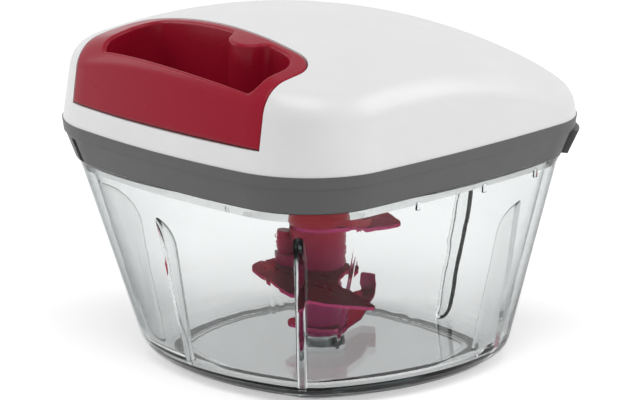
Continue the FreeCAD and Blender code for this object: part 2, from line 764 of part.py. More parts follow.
def lid_base():
    body = new_body("lid_base_body")
    band_bottom = ring_top - d.ring_band
    band_low_offset = d.ring_flare - d.band_lean
    low = rounded(body, "ring_low", ring_edge, ring_bottom)
    mid = rounded(body, "ring_mid", ring_edge.grown(band_low_offset - d.ridge_step), band_bottom)
    loft(body, [low, mid], "ring_lower_band")
    band_low = rounded(body, "band_low", ring_edge.grown(band_low_offset), band_bottom)
    band_high = rounded(body, "band_high", ring_edge.grown(d.ring_flare), ring_top)
    loft(body, [band_low, band_high], "ring_upper_band")
    top_hollow = rounded(body, "tray_outline", ring_edge.grown(d.ring_flare - d.ring_wall), ring_top)
    pocket(body, top_hollow, ring_top - lid_floor_top, "tray")
    under = rounded(body, "under_outline", ring_edge.grown(-d.ring_wall), ring_bottom)
    pocket(body, under, lid_floor_bottom - ring_bottom, "under_hollow", up=True)
    skirt_outer = ring_edge.grown(-d.skirt_inset)
    skirt_inner = ring_edge.grown(-d.skirt_inset - d.skirt_wall)
    skirt = rounded(body, "skirt_outline", skirt_outer, lid_floor_bottom)
    skirt_inner.draw(skirt)
    pad(body, skirt, d.skirt_drop, "skirt", down=True)
    bosses = new_sketch(body, "screw_boss_plan", height=lid_floor_bottom)
    for x, y in housing_screw_places():
        add_circle(bosses, x, y, d.post_radius)
    pad(body, bosses, d.screw_boss, "screw_bosses", down=True)
    hub = new_sketch(body, "hub_ring_plan", height=lid_floor_bottom)
    add_circle(hub, 0, 0, d.arbor_flange_radius)
    add_circle(hub, 0, 0, d.coupler_radius + d.running_gap * 2)
    pad(body, hub, d.coupler_collar, "hub_ring", down=True)
    bore = new_sketch(body, "hub_bore_plan", height=lid_floor_top)
    add_circle(bore, 0, 0, d.hub_radius + d.running_gap)
    pocket(body, bore, d.lid_floor_thickness, "hub_bore")
    holes = new_sketch(body, "cover_screw_holes_plan", height=lid_floor_top)
    for x, y in cover_post_places():
        add_circle(holes, x, y, d.screw_radius + d.running_gap)
    pocket(body, holes, d.lid_floor_thickness, "cover_screw_holes")
    threads = new_sketch(body, "housing_screw_bores_plan", height=lid_floor_top)
    for x, y in housing_screw_places():
        add_circle(threads, x, y, d.post_bore_radius)
    pocket(body, threads, d.lid_floor_thickness + d.screw_boss - 1, "housing_screw_bores")
    add_proud_tab(body)
    for name, x, y, radius, middle in tab_corners():
        for letter, side in (("a", -1), ("b", 1)):
            turn = middle + d.tab_half_angle * side
            cut_tab_slot(body, f"{name}_slot_{letter}", x, y, radius, turn)
    body.Label = "lid_base"
    return body


def tab_corners():
    """The two corner tabs: arc centre, arc radius and the direction of the tab's middle."""
    fx, fy = d.front_corner_x, d.front_corner_y
    bx, by = d.back_corner_x, d.back_corner_y
    front_middle = as_size(-180 + math.degrees(math.atan2(fy.value, fx.value)))
    back_middle = as_size(math.degrees(math.atan2(by.value, bx.value)))
    return [
        ("front_tab", -fx, -fy, d.front_corner_radius, front_middle),
        ("back_tab", bx, by, d.back_corner_radius, back_middle),
    ]


def add_proud_tab(body):
    """Thicken the back corner tab outward, along the ring's flare."""
    _, x, y, radius, middle = tab_corners()[1]
    top = ring_top - d.ring_band - 1
    sketches = []
    for name, height, offset in (
        ("proud_tab_low", ring_bottom, d.tab_proud),
        ("proud_tab_high", top, d.ring_flare - d.band_lean - d.ridge_step + d.tab_proud),
    ):
        sketch = new_sketch(body, name, height=height)
        add_sector(sketch, x, y, radius - d.ring_wall / 2, radius + offset, middle)
        sketches.append(sketch)
    loft(body, sketches, "proud_tab")


def add_sector(sketch, x, y, inner, outer, middle):
    """A sector of a ring as wide as a corner tab."""
    centre = Vector(x.value, y.value, 0)
    ends = (middle - d.tab_half_angle, middle + d.tab_half_angle)
    start, end = [math.radians(turn.value) for turn in ends]
    arcs = []
    for radius in (inner, outer):
        circle = Part.Circle(centre, Vector(0, 0, 1), radius.value)
        arc = sketch.addGeometry(Part.ArcOfCircle(circle, start, end))
        place_point(sketch, arc, 3, x, y)
        hold(sketch, Sketcher.Constraint("Radius", arc, radius.value), radius)
        arcs.append((arc, radius))
    for position, turn in ((1, ends[0]), (2, ends[1])):
        points = []
        for arc, radius in arcs:
            px = x + cosine(turn) * radius
            datum = Sketcher.Constraint("DistanceX", -1, 1, arc, position, px.value)
            hold(sketch, datum, px)
            points.append(Vector(px.value, (y + sine(turn) * radius).value, 0))
        line = sketch.addGeometry(Part.LineSegment(*points))
        sketch.addConstraint(Sketcher.Constraint("Coincident", line, 1, arcs[0][0], position))
        sketch.addConstraint(Sketcher.Constraint("Coincident", line, 2, arcs[1][0], position))


def cut_tab_slot(body, name, x, y, radius, direction):
    """Cut one upright slot through the ring's lower band, radially from a corner centre."""
    near = radius - d.ring_wall * 1.5
    far = radius + d.ring_flare * 2
    half = d.tab_slot_width / 2
    along = (cosine(direction), sine(direction))
    corners = []
    for reach, side in ((near, -1), (far, -1), (far, 1), (near, 1)):
        px = x + along[0] * reach - along[1] * (half * side)
        py = y + along[1] * reach + along[0] * (half * side)
        corners.append((px, py))
    sketch = new_sketch(body, f"{name}_plan", height=ring_bottom)
    add_loop(sketch, corners)
    height = ring_top - d.ring_band - ring_bottom
    pocket(body, sketch, height - 1, name, up=True)


def lid_seal():
    """The flat seal between the bowl's neck and the lid's floor."""
    body = new_body("lid_seal")
    bottom = lid_floor_bottom - d.seal_thickness
    plan = rounded(body, "seal_outline", ring_edge.grown(-d.seal_inset), bottom)
    ring_edge.grown(-d.skirt_inset).draw(plan)
    pad(body, plan, d.seal_thickness, "seal_pad")
    return body


# Cover


def dome(name, inset):
    """The cover's outer form, or the same form further in by an inset."""
    body = new_body(name)
    rise = d.cover_height + 14
    foot = ring_edge.grown(cover_foot - inset)
    head = ring_edge.grown(cover_foot - inset - rise * tangent(d.cover_lean))
    low = rounded(body, f"{name}_foot", foot, ring_top)
    high = rounded(body, f"{name}_head", head, ring_top + rise)
    loft(body, [low, high], f"{name}_walls")
    above = new_sketch(body, f"{name}_crown_profile", "YZ_Plane")
    radius = d.crown_length_radius - inset
    centre_z = crown_top - d.crown_length_radius
    reach = as_size(100)
    drop = math.sqrt(radius.value ** 2 - reach.value ** 2)
    lift = crown_top + 40
    centre = Vector(-d.crown_forward.value, centre_z.value, 0)
    circle = Part.Circle(centre, Vector(0, 0, 1), radius.value)
    start = math.atan2(drop, reach.value)
    arc = above.addGeometry(Part.ArcOfCircle(circle, start, math.pi - start))
    right = Vector(centre.x + reach.value, centre.y + drop, 0)
    left = Vector(centre.x - reach.value, centre.y + drop, 0)
    upper_right = Vector(right.x, lift.value, 0)
    upper_left = Vector(left.x, lift.value, 0)
    right_side = above.addGeometry(Part.LineSegment(right, upper_right))
    top_side = above.addGeometry(Part.LineSegment(upper_right, upper_left))
    left_side = above.addGeometry(Part.LineSegment(upper_left, left))
    for first, second in ((right_side, top_side), (top_side, left_side)):
        above.addConstraint(Sketcher.Constraint("Coincident", first, 2, second, 1))
    above.addConstraint(Sketcher.Constraint("Coincident", arc, 1, right_side, 1))
    above.addConstraint(Sketcher.Constraint("Coincident", left_side, 2, arc, 2))
    above.addConstraint(Sketcher.Constraint("Vertical", right_side))
    above.addConstraint(Sketcher.Constraint("Vertical", left_side))
    place_point(above, arc, 3, -d.crown_forward, centre_z)
    hold(above, Sketcher.Constraint("Radius", arc, radius.value), radius)
    place_point(above, right_side, 2, reach - d.crown_forward, lift)
    place_point(above, top_side, 2, -reach - d.crown_forward, lift)
    axis_z = crown_top - d.crown_width_radius
    axis = above.addGeometry(
        Part.LineSegment(Vector(-20, axis_z.value, 0), Vector(20, axis_z.value, 0)), True
    )
    place_point(above, axis, 1, -20, axis_z)
    place_point(above, axis, 2, 20, axis_z)
    crown = add_profile(body, "PartDesign::Groove", f"{name}_crown", above)
    crown.ReferenceAxis = (above, ["Axis0"])
    crown.Midplane = True
    crown.Angle = 80
    document.recompute()
    shape = crown.Shape
    roof = max(shape.Faces, key=lambda face: face.CenterOfMass.z)
    roof_edges = [f"Edge{shape_index(shape, edge)}" for edge in roof.Edges]
    round_edges(body, crown, roof_edges, d.shoulder_radius - inset, f"{name}_shoulder")
    return body


def shape_index(shape, edge):
    for index, other in enumerate(shape.Edges, start=1):
        if edge.isSame(other):
            return index
    raise ValueError("edge not found")


def recess_corners(half_width, back, radius):
    front = d.front_corner_y * 3
    return [
        (-half_width, -front),
        (half_width, -front),
        (half_width, -back, radius),
        (-half_width, -back, radius),
    ]


def cover_post_places():
    front = (d.front_post_x, -d.front_post_y)
    back = (d.back_post_x, d.back_post_y)
    return [front, (-front[0], front[1]), back, (-back[0], back[1])]


def cover_posts():
    body = new_body("cover_post_block")
    body.AllowCompound = True
    sketch = new_sketch(body, "cover_post_plan", height=lid_floor_top)
    for x, y in cover_post_places():
        add_circle(sketch, x, y, d.post_radius)
    pad(body, sketch, crown_top - lid_floor_top, "cover_post_pad")
    return body


def top_cover(outside):
    inside = dome("cover_inside", d.cover_wall)
    shell = combine("Part::Cut", "cover_shell", [outside, inside])
    wall = d.recess_wall
    walls = block(
        "recess_walls",
        recess_corners(recess_half_width + wall, recess_back - wall, d.handle_corner_radius + wall),
        recess_floor - wall,
        handle_top_clear - recess_floor,
    )
    fittings = combine("Part::MultiFuse", "cover_fittings", [walls, cover_posts()])
    trimmed = document.addObject("Part::Common", "cover_fittings_trimmed")
    trimmed.Base = fittings
    trimmed.Tool = dome("cover_middle", d.cover_wall / 2)
    lip = new_body("cover_lip")
    lip_outer = ring_edge.grown(d.ring_flare - d.ring_wall - d.lip_clearance)
    lip_inner = ring_edge.grown(d.ring_flare - d.ring_wall - d.lip_clearance - d.lip_wall)
    plan = rounded(lip, "lip_outline", lip_outer, ring_top - d.lip_drop)
    lip_inner.draw(plan)
    pad(lip, plan, d.lip_drop + 2, "lip_pad")
    posts_low = new_body("post_feet")
    posts_low.AllowCompound = True
    feet = new_sketch(posts_low, "post_feet_plan", height=lid_floor_top)
    for x, y in cover_post_places():
        add_circle(feet, x, y, d.post_radius)
    pad(posts_low, feet, ring_top - lid_floor_top + 4, "post_feet_pad")
    whole = combine("Part::MultiFuse", "cover_whole", [shell, trimmed, lip, posts_low])
    recess = block(
        "recess_space",
        recess_corners(recess_half_width, recess_back, d.handle_corner_radius + d.handle_seam),
        recess_floor,
        handle_top_clear - recess_floor + 20,
    )
    bores = new_body("cover_bores")
    bores.AllowCompound = True
    plan = new_sketch(bores, "cover_bore_plan", height=lid_floor_top - 1)
    for x, y in cover_post_places():
        add_circle(plan, x, y, d.post_bore_radius)
    pad(bores, plan, d.screw_length + 2, "cover_bore_pad")
    cord_hole = new_body("cover_cord_hole")
    hole_start = recess_back - d.recess_wall - 2
    plan = new_sketch(cord_hole, "cover_cord_hole_plan", "XZ_Plane", height=hole_start)
    add_circle(plan, cord_line, cord_height, d.eyelet_tube)
    pad(cord_hole, plan, d.recess_wall + 4, "cover_cord_hole_pad")
    cuts = combine("Part::MultiFuse", "cover_cuts", [recess, bores, cord_hole])
    return combine("Part::Cut", "top_cover", [whole, cuts])


# Handle


def pull_handle(outside):
    body = new_body("handle_block")
    plan = new_sketch(body, "handle_plan", height=handle_bottom)
    add_loop(plan, recess_corners(d.handle_half_width, d.handle_back, d.handle_corner_radius))
    height = handle_top_clear - handle_bottom
    pad(body, plan, height, "handle_pad")
    pocket_floor = handle_bottom + d.handle_floor
    opening = new_sketch(body, "finger_pocket_plan", height=pocket_floor)
    bind(opening, "AttachmentOffset.Base.x", d.pocket_shift)
    back = d.handle_back + d.handle_rim
    front, rear = d.pocket_front_radius, d.pocket_back_radius
    Outline(
        (d.pocket_half_width - front, d.pocket_front - front, front),
        (d.pocket_half_width - rear, -back - rear, rear),
        d.pocket_arc_radius,
        d.side_arc_radius * 4,
        d.side_arc_radius * 4,
    ).draw(opening)
    pocket(body, opening, height, "finger_pocket", up=True)
    boss = new_sketch(body, "cord_boss_plan", height=handle_bottom + d.handle_floor / 2)
    add_circle(boss, cord_line, -d.boss_forward, d.boss_radius)
    boss_pad = pad(body, boss, height - d.handle_floor / 2, "cord_boss")
    document.recompute()
    seams = edges_where(boss_pad.Shape, lambda e: beside_boss(e, back.value))
    round_edges(body, boss_pad, seams, d.boss_blend, "boss_blend")
    knot = new_sketch(body, "knot_bore_plan", height=handle_bottom)
    add_circle(knot, cord_line, -d.knot_forward, d.knot_bore_radius)
    pocket(body, knot, cord_height + d.knot_bore_rise - handle_bottom, "knot_bore", up=True)
    hole = new_sketch(body, "handle_cord_hole_plan", "XZ_Plane", height=d.handle_back)
    add_circle(hole, cord_line, cord_height, d.cord_hole_radius)
    pocket(body, hole, d.handle_rim, "handle_cord_hole", up=True)
    limits = block(
        "handle_limits",
        recess_corners(d.handle_half_width, d.handle_back, d.handle_corner_radius),
        handle_bottom,
        height,
    )
    common = combine("Part::MultiCommon", "handle_form", [outside, body, limits])
    document.recompute()
    handle = document.addObject("Part::Fillet", "pull_handle")
    handle.Label = "pull_handle"
    handle.Base = common
    handle.Edges = handle_roundings(common.Shape, outside.Shape)
    return handle


def beside_boss(edge, back):
    """Whether an edge is upright where the cord boss meets the pocket's back face."""
    box = edge.BoundBox
    upright = box.XLength < 0.01 and box.YLength < 0.01 and box.ZLength > 5
    near = abs(abs(box.XMin - cord_line.value) - d.boss_radius.value) < 1
    return upright and near and abs(box.YMin + back) < 0.5


def handle_roundings(shape, skin):
    """The rounding of every edge where the handle meets the cover's form."""
    roundings = []
    side = d.pocket_half_width.value + d.pocket_shift.value + 0.5
    for index, edge in enumerate(shape.Edges, start=1):
        if not is_sharp(edge, shape) or not on_surface(edge, skin):
            continue
        ends = [edge.valueAt(parameter) for parameter in edge.ParameterRange]
        inner = all(abs(end.x) < side and end.y < -d.handle_back.value - 1 for end in ends)
        radius = d.rim_rounding.value if inner else d.edge_rounding.value
        roundings.append((index, radius, radius))
    return roundings


def is_sharp(edge, shape):
    """Whether the faces on both sides of an edge turn by more than 20 degrees."""
    first, last = edge.ParameterRange
    middle = edge.valueAt((first + last) / 2)
    normals = []
    for face in shape.ancestorsOfType(edge, Part.Face):
        normals.append(face.normalAt(*face.Surface.parameter(middle)))
    return len(normals) == 2 and normals[0].getAngle(normals[1]) > math.radians(20)


def on_surface(edge, shape):
    """Whether an edge lies on a shape's skin at its middle and near both ends."""
    first, last = edge.ParameterRange
    skin = Part.Shell(shape.Faces)
    for share in (0.1, 0.5, 0.9):
        point = edge.valueAt(first + (last - first) * share)
        if skin.distToShape(Part.Vertex(point))[0] > 0.01:
            return False
    return True


# Drum, spring and their housing


def cord_drum():
    """The drum: cord groove above, spring cup below, hub down through the lid."""
    cup_outer = d.drum_flange_radius
    cup_inner = cup_outer - d.spring_cup_wall
    body = turned("cord_drum", [
        (0, hub_bottom),
        (d.hub_radius, hub_bottom),
        (d.hub_radius, cup_top),
        (cup_inner, cup_top),
        (cup_inner, cup_bottom),
        (cup_outer, cup_bottom),
        (cup_outer, groove_bottom),
        (d.drum_core_radius, groove_bottom),
        (d.drum_core_radius, groove_top),
        (d.drum_flange_radius, groove_top),
        (d.drum_flange_radius, drum_top),
        (0, drum_top),
    ])
    stub = new_sketch(body, "drive_hexagon_plan", height=hub_bottom)
    add_hexagon(stub, d.hex_across)
    pad(body, stub, d.hex_length, "drive_hexagon", down=True)
    axle = new_sketch(body, "axle_bore_plan", height=drum_top)
    add_circle(axle, 0, 0, d.axle_radius)
    pocket(body, axle, d.axle_length - d.housing_cap - d.running_gap, "axle_bore")
    thread = new_sketch(body, "centre_thread_plan", height=hex_bottom)
    add_circle(thread, 0, 0, d.post_bore_radius)
    pocket(body, thread, d.centre_screw_length, "centre_thread", up=True)
    hollow = new_sketch(body, "drum_hollow_plan", height=drum_top)
    add_circle(hollow, 0, 0, d.drum_core_radius - d.drum_flange * 2)
    add_circle(hollow, 0, 0, d.hub_radius)
    pocket(body, hollow, drum_top - cup_top - d.drum_flange * 2, "drum_hollow")
    return body


def drum_axle():
    return turned("drum_axle", [
        (0, housing_top - d.axle_length),
        (d.axle_radius, housing_top - d.axle_length),
        (d.axle_radius, housing_top),
        (0, housing_top),
    ])


def spring_arbor():
    """The fixed tube that the spring's inner end holds and the drum's hub turns in."""
    bore = d.hub_radius + d.shaft_clearance
    return turned("spring_arbor", [
        (bore, lid_floor_top),
        (d.arbor_flange_radius, lid_floor_top),
        (d.arbor_flange_radius, arbor_base),
        (d.arbor_radius, arbor_base),
        (d.arbor_radius, arbor_top),
        (bore, arbor_top),
    ])


def spring_plate():
    """The plate under the drum that keeps the spring in its cup."""
    inner = d.arbor_radius + d.running_gap
    outer = d.drum_flange_radius - d.spring_cup_wall
    return turned("spring_plate", [
        (inner, cup_bottom),
        (outer, cup_bottom),
        (outer, cup_bottom + d.spring_plate),
        (inner, cup_bottom + d.spring_plate),
    ])


def recoil_spring():
    """A flat strip wound in half turns whose centres change sides."""
    outer = d.drum_flange_radius.value - d.spring_cup_wall.value - d.running_gap.value
    inner = d.spring_inner_radius.value
    halves = int(round(d.spring_turns.value * 2))
    strip = d.spring_strip.value
    step = (outer - strip - inner) / halves
    side = 1
    radius = inner
    centre = 0.0
    rows = []
    for _ in range(halves):
        rows.append((centre, radius, side))
        centre -= side * step
        radius += step
        side = -side
    inside_edges = []
    outside_edges = []
    for centre, radius, side in rows:
        for extra, edges in ((0.0, inside_edges), (strip, outside_edges)):
            first = Vector(centre - side * (radius + extra), 0, 0)
            middle = Vector(centre, -side * (radius + extra), 0)
            last = Vector(centre + side * (radius + extra), 0, 0)
            edges.append(Part.Arc(first, middle, last).toShape())
    start = Part.LineSegment(inside_edges[0].Vertexes[0].Point, outside_edges[0].Vertexes[0].Point)
    end = Part.LineSegment(inside_edges[-1].Vertexes[-1].Point, outside_edges[-1].Vertexes[-1].Point)
    loop = inside_edges + [end.toShape()] + outside_edges[::-1] + [start.toShape()]
    wire = Part.Wire(Part.__sortEdges__(loop))
    strip_shape = Part.Face(wire).extrude(Vector(0, 0, d.spring_width.value))
    print("spring: gap between turns", round(2 * step - strip, 3))
    made = document.addObject("Part::Feature", "recoil_spring")
    made.Label = "recoil_spring"
    made.Shape = strip_shape
    lift = cup_bottom + d.spring_plate + d.running_gap
    made.Placement = Placement(Vector(0, 0, lift.value), Rotation())
    return made


def drum_housing():
    body = turned("drum_housing", [
        (housing_inner, lid_floor_top),
        (housing_outer, lid_floor_top),
        (housing_outer, housing_top),
        (0, housing_top),
        (0, housing_ceiling),
        (housing_inner, housing_ceiling),
    ])
    lugs = new_sketch(body, "housing_lug_plan", height=lid_floor_top)
    for x, y in housing_screw_places():
        add_circle(lugs, x, y, d.housing_lug_radius)
    body.AllowCompound = True
    pad(body, lugs, d.housing_lug_height, "housing_lugs")
    clear = new_sketch(body, "housing_clear_plan", height=lid_floor_top)
    add_circle(clear, 0, 0, housing_inner)
    pocket(body, clear, housing_ceiling - lid_floor_top, "housing_clear", up=True)
    holes = new_sketch(body, "housing_holes_plan", height=lid_floor_top)
    for x, y in housing_screw_places():
        add_circle(holes, x, y, d.screw_radius + d.running_gap)
    pocket(body, holes, d.housing_lug_height, "housing_holes", up=True)
    seats = new_sketch(body, "housing_seats_plan", height=lid_floor_top + d.housing_lug_height)
    for x, y in housing_screw_places():
        add_circle(seats, x, y, d.screw_head_radius + d.running_gap)
    pocket(body, seats, housing_top - lid_floor_top, "housing_seats", up=True)
    axle = new_sketch(body, "housing_axle_plan", height=housing_ceiling)
    add_circle(axle, 0, 0, d.axle_radius + d.shaft_clearance)
    pocket(body, axle, d.housing_cap, "housing_axle", up=True)
    window = new_sketch(body, "cord_window_plan", "XZ_Plane")
    width = d.cord_diameter * 2
    add_loop(window, [
        (cord_line - width, cord_height - width),
        (cord_line + width, cord_height - width),
        (cord_line + width, cord_height + d.cord_diameter),
        (cord_line - width, cord_height + d.cord_diameter),
    ])
    pocket(body, window, housing_outer + 2, "cord_window", up=True)
    return body


def housing_screw_places():
    """Three screws about the housing, clear of the cord's side."""
    places = []
    for turn in (90, 210, 330):
        across = round(math.cos(math.radians(turn)), 6)
        along = round(math.sin(math.radians(turn)), 6)
        places.append((d.housing_lug_reach * across, d.housing_lug_reach * along))
    return places


# Fasteners


def screw(name, x, y, seat, length, head_down):
    """A pan head screw; its seat is the face under the head."""
    way = 1 if head_down else -1
    head = d.screw_head_radius
    point = seat + length * way
    cap = seat - d.screw_head * way
    body = turned(name, [
        (0, cap),
        (head * 0.8, cap),
        (head, seat - d.screw_head * (0.5 * way)),
        (head, seat),
        (d.screw_radius, seat),
        (d.screw_radius, point - d.screw_radius * way),
        (0, point),
    ])
    cross = new_sketch(body, f"{name}_cross_plan", height=cap)
    arm = head * 0.6
    slot = head * 0.14
    add_loop(cross, [
        (arm, -slot), (arm, slot), (slot, slot), (slot, arm),
        (-slot, arm), (-slot, slot), (-arm, slot), (-arm, -slot),
        (-slot, -slot), (-slot, -arm), (slot, -arm), (slot, -slot),
    ])
    pocket(body, cross, d.screw_head * 0.55, f"{name}_cross", up=head_down)
    shift(body, x=x, y=y)
    return body


def housing_screws():
    seat = lid_floor_top + d.housing_lug_height
    made = []
    for i, (x, y) in enumerate(housing_screw_places(), start=1):
        made.append(screw(f"housing_screw_{i}", x, y, seat, d.screw_length, head_down=False))
    return combine("Part::Compound", "housing_screws", made)


def cover_screws():
    made = []
    for i, (x, y) in enumerate(cover_post_places(), start=1):
        made.append(screw(f"cover_screw_{i}", x, y, lid_floor_bottom, d.screw_length, head_down=True))
    return combine("Part::Compound", "cover_screws", made)


# Drive to the blades


def drive_coupler():
    body = turned("drive_coupler", [
        (0, coupler_bottom),
        (d.coupler_across / 2, coupler_bottom),
        (d.coupler_across / 2, collar_bottom),
        (d.coupler_radius, collar_bottom),
        (d.coupler_radius, hub_bottom),
        (0, hub_bottom),
    ])
    hexagon = new_sketch(body, "coupler_hexagon_plan", height=coupler_bottom)
    add_hexagon(hexagon, d.coupler_across)
    pad(body, hexagon, d.coupler_length, "coupler_hexagon")
    socket = new_sketch(body, "coupler_socket_plan", height=hub_bottom)
    add_hexagon(socket, d.hex_across + d.hex_clearance * 2)
    pocket(body, socket, d.hex_length + d.hex_clearance, "coupler_socket")
    through = new_sketch(body, "coupler_bore_plan", height=coupler_bottom)
    add_circle(through, 0, 0, d.screw_radius + d.running_gap)
    pocket(body, through, d.coupler_length, "coupler_bore", up=True)
    seat = new_sketch(body, "coupler_seat_plan", height=coupler_bottom)
    add_circle(seat, 0, 0, d.screw_head_radius + d.running_gap)
    pocket(body, seat, d.screw_head + d.running_gap, "coupler_seat", up=True)
    return body


def coupler_screw():
    seat = coupler_bottom + d.screw_head + d.running_gap
    body = screw("coupler_screw", ZERO, ZERO, seat, d.centre_screw_length, head_down=True)
    return body


# Blades and their stem


def blade_corners(back):
    """Corners of a curved blade that points along the first axis."""
    reach = d.blade_reach
    return [
        (-d.stem_radius, -back * 0.1, d.stem_radius * 0.5),
        (-d.stem_radius * 0.55, -back, back * 0.36),
        (reach * 0.72, -back * 0.98, reach * 0.5),
        (reach, -back * 0.02, 1.0),
        (reach * 0.44, -back * 0.12, back * 0.5),
        (d.stem_radius * 0.8, d.stem_radius * 0.9, d.stem_radius * 0.8),
        (-d.stem_radius * 0.95, d.stem_radius * 0.95, d.stem_radius * 0.9),
    ]


def tilt(body, height, turn, droop):
    """Lift a blade to its height and slope it down towards its tip."""
    across = math.radians(turn.value + 90)
    axis = Vector(math.cos(across), math.sin(across), 0)
    body.Placement = Placement(Vector(0, 0, height.value), Rotation(axis, droop.value))
    bind(body, "Placement.Base.z", height)
    bind(body, "Placement.Rotation.Angle", droop)


def curved_blade(name, height, turn, droop, back):
    body = new_body(name)
    sketch = new_sketch(body, f"{name}_plan", turn=turn)
    add_loop(sketch, blade_corners(back))
    pad(body, sketch, d.blade_thickness, f"{name}_pad")
    hole = new_sketch(body, f"{name}_hole_plan")
    add_circle(hole, 0, 0, d.stem_neck_radius + d.blade_clearance)
    pocket(body, hole, d.blade_thickness, f"{name}_hole", up=True)
    tilt(body, height, turn, droop)
    return body


def lower_blade():
    turn = d.lower_blade_turn
    return curved_blade(
        "lower_blade", d.lower_blade_height, turn, d.lower_blade_droop, d.lower_blade_back
    )


def upper_blade():
    turn = d.upper_blade_turn
    return curved_blade(
        "upper_blade", d.upper_blade_height, turn, d.upper_blade_droop, d.upper_blade_back
    )


def blade_gap(name, height, turn, droop):
    """The space that a blade takes in the stem."""
    body = new_body(name)
    sketch = new_sketch(body, f"{name}_plan", height=-d.blade_clearance)
    add_circle(sketch, 0, 0, d.blade_reach)
    add_circle(sketch, 0, 0, d.stem_neck_radius)
    pad(body, sketch, d.blade_thickness + d.blade_clearance * 2, f"{name}_pad")
    tilt(body, height, turn, droop)
    return body


def bottom_blade():
    body = new_body("bottom_blade")
    half = d.bottom_blade_width / 2
    reach = d.bottom_blade_reach
    hub = d.stem_neck_radius + 3
    plan = new_sketch(body, "bottom_blade_plan", turn=d.bottom_blade_turn)
    add_loop(plan, [
        (-hub, -hub, hub * 0.6),
        (hub, -hub, hub * 0.5),
        (reach, -half * 0.55),
        (reach, half * 0.5),
        (reach * 0.6, half * 1.1, reach * 0.5),
        (hub, hub, hub * 0.5),
        (-hub, hub, hub * 0.6),
    ])
    pad(body, plan, d.blade_thickness, "bottom_blade_pad")
    tip = new_sketch(body, "upright_tip_plan", turn=d.bottom_blade_turn)
    add_loop(tip, [
        (reach - d.blade_thickness, -half * 0.55),
        (reach, -half * 0.55),
        (reach, d.tip_width - half * 0.55),
        (reach - d.blade_thickness, d.tip_width - half * 0.55),
    ])
    pad(body, tip, d.tip_height, "upright_tip")
    hole = new_sketch(body, "bottom_blade_hole_plan")
    add_circle(hole, 0, 0, d.stem_neck_radius + d.blade_clearance)
    pocket(body, hole, d.blade_thickness, "bottom_blade_hole", up=True)
    shift(body, z=d.bottom_blade_height)
    return body


def stem_ledge(body, name, height, turn):
    """The ledge over a blade, with its post."""
    behind = turn - d.ledge_turn
    reach = d.ledge_reach
    sketch = new_sketch(body, f"{name}_plan", height=height, turn=behind)
    side = d.ledge_radius
    add_loop(sketch, [
        (0, -side - 1.5),
        (reach, -side, side * 0.45),
        (reach + side * 0.75, 0, side * 0.6),
        (reach, side, side * 0.9),
        (0, side + 1.5),
    ])
    pad(body, sketch, d.ledge_thickness, name)
    post = new_sketch(body, f"{name}_post_plan", height=height, turn=behind)
    add_circle(post, reach, 0, d.post_pin_radius)
    pad(body, post, d.ledge_thickness + d.post_pin_height, f"{name}_post")


def blade_stem():
    raw = turned("stem_form", [
        (0, d.stem_bottom),
        (d.stem_foot_radius - 1, d.stem_bottom),
        (d.stem_foot_radius, d.stem_bottom + 1),
        (d.stem_foot_radius, d.stem_foot_top),
        (d.stem_radius, d.stem_foot_top),
        (d.stem_radius, stem_top - 1),
        (d.stem_radius - 1, stem_top),
        (0, stem_top),
    ])
    ledge_lift = d.blade_thickness + d.blade_clearance
    stem_ledge(raw, "lower_ledge", d.lower_blade_height + ledge_lift, d.lower_blade_turn)
    stem_ledge(raw, "upper_ledge", d.upper_blade_height + ledge_lift, d.upper_blade_turn)
    bush = new_sketch(raw, "bush_bore_plan", height=d.stem_bottom)
    add_circle(bush, 0, 0, d.bush_radius + d.shaft_clearance)
    pocket(raw, bush, d.bush_height, "bush_bore", up=True)
    socket = new_sketch(raw, "drive_socket_plan", height=stem_top)
    add_hexagon(socket, d.coupler_across + d.hex_clearance * 2)
    pocket(raw, socket, d.socket_depth, "drive_socket")
    gaps = [
        blade_gap("lower_gap", d.lower_blade_height, d.lower_blade_turn, d.lower_blade_droop),
        blade_gap("upper_gap", d.upper_blade_height, d.upper_blade_turn, d.upper_blade_droop),
        blade_gap("bottom_gap", d.bottom_blade_height, d.bottom_blade_turn, ZERO),
    ]
    return combine("Part::Cut", "blade_stem", [raw, combine("Part::MultiFuse", "blade_gaps", gaps)])


def stem_bush():
    bore = pin_radius + d.shaft_clearance
    return turned("stem_bush", [
        (bore, boss_top),
        (d.bush_radius, boss_top),
        (d.bush_radius, d.stem_bottom + d.bush_height - d.running_gap),
        (bore, d.stem_bottom + d.bush_height - d.running_gap),
    ])


# Cord and its fittings


def cord_eyelet():
    """The flanged ring that lines the cord's hole in the recess wall."""
    body = new_body("cord_eyelet")
    wall_back = recess_back - d.recess_wall
    for name, start, length, outer in (
        ("eyelet_tube", wall_back - d.eyelet_flange, d.recess_wall + d.eyelet_flange, d.eyelet_tube),
        ("eyelet_flange", wall_back - d.eyelet_flange, d.eyelet_flange, d.eyelet_radius),
    ):
        plan = new_sketch(body, f"{name}_plan", "XZ_Plane", height=start)
        add_circle(plan, cord_line, cord_height, outer)
        add_circle(plan, cord_line, cord_height, d.cord_hole_radius)
        pad(body, plan, length, name)
    return body


